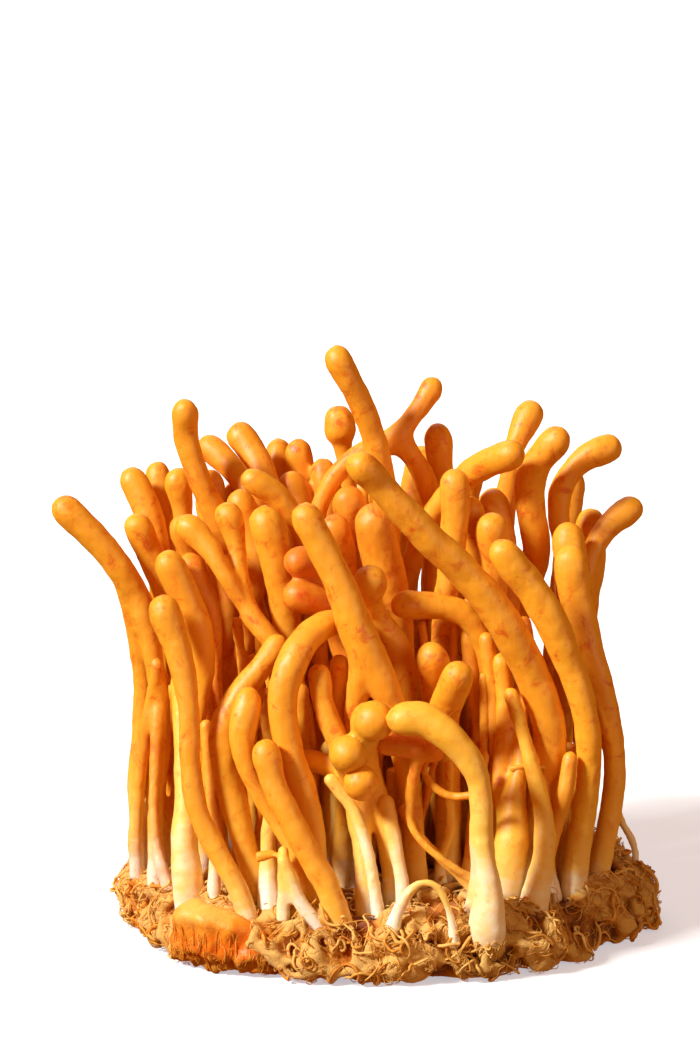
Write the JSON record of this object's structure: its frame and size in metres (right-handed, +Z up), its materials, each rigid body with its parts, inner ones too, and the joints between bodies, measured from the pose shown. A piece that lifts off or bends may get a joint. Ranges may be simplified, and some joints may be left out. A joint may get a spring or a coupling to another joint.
{
  "type": "cordyceps mushroom",
  "caption": "Clump of orange, finger-like cordyceps fruiting bodies with round tips and pale feet, standing on a fibrous disc of mycelium.",
  "frame": {"origin": "middle of the flat underside of the mycelium disc", "axes": "+Z up along the stems, -Y towards the show side, +X to the right as seen from the show side"},
  "size_m": [0.0772, 0.071, 0.0768],
  "materials": {
    "stroma_flesh": "matte fruiting-body flesh, orange at the club and cream at the foot",
    "mycelium": "matted golden-tan mycelium fibre",
    "orange_skin": "smooth pigmented mycelium skin"
  },
  "bodies": {
    "root": {"back_tuft_01": "stroma_flesh", "back_tuft_02": "stroma_flesh", "back_tuft_03": "stroma_flesh", "back_tuft_04": "stroma_flesh", "back_tuft_05": "stroma_flesh", "back_tuft_06": "stroma_flesh", "back_tuft_07": "stroma_flesh", "back_tuft_08": "stroma_flesh", "back_tuft_09": "stroma_flesh", "back_tuft_10": "stroma_flesh", "back_tuft_11": "stroma_flesh", "back_tuft_12": "stroma_flesh", "back_tuft_13": "stroma_flesh", "ball_and_bow": "stroma_flesh", "ball_hub": "stroma_flesh", "ball_on_stalk": "stroma_flesh", "centre_back_a": "stroma_flesh", "centre_dimpled_pair": "stroma_flesh", "centre_stout": "stroma_flesh", "centre_straight": "stroma_flesh", "crown_four": "stroma_flesh", "front_arch": "stroma_flesh", "front_cap_pair": "stroma_flesh", "front_centre_long": "stroma_flesh", "front_diagonal": "stroma_flesh", "front_left_hook": "stroma_flesh", "front_left_long": "stroma_flesh", "front_low_behind": "stroma_flesh", "front_low_diagonal": "stroma_flesh", "front_right_bow": "stroma_flesh", "knuckled_arch": "stroma_flesh", "left_inner_pair": "stroma_flesh", "left_mid_a": "stroma_flesh", "left_outrigger": "stroma_flesh", "left_short_trio": "stroma_flesh", "left_spoon": "stroma_flesh", "left_stout": "stroma_flesh", "left_swollen_foot": "stroma_flesh", "left_tall": "stroma_flesh", "left_thin_waisted": "stroma_flesh", "left_upper_a": "stroma_flesh", "left_upper_pair": "stroma_flesh", "level_club": "stroma_flesh", "mycelium_mat": "mycelium", "orange_skin_lobe": "orange_skin", "right_elbow": "stroma_flesh", "right_flared_foot": "stroma_flesh", "right_front_long": "stroma_flesh", "right_inner_pair": "stroma_flesh", "right_inner_round": "stroma_flesh", "right_outer_long": "stroma_flesh", "right_outrigger_high": "stroma_flesh", "right_outrigger_low": "stroma_flesh", "right_pale_foot": "stroma_flesh", "right_reaching_arm": "stroma_flesh", "right_upper_a": "stroma_flesh", "slingshot": "stroma_flesh", "swan_neck": "stroma_flesh", "tallest": "stroma_flesh", "twin_buds": "stroma_flesh"}
  },
  "joints": []
}
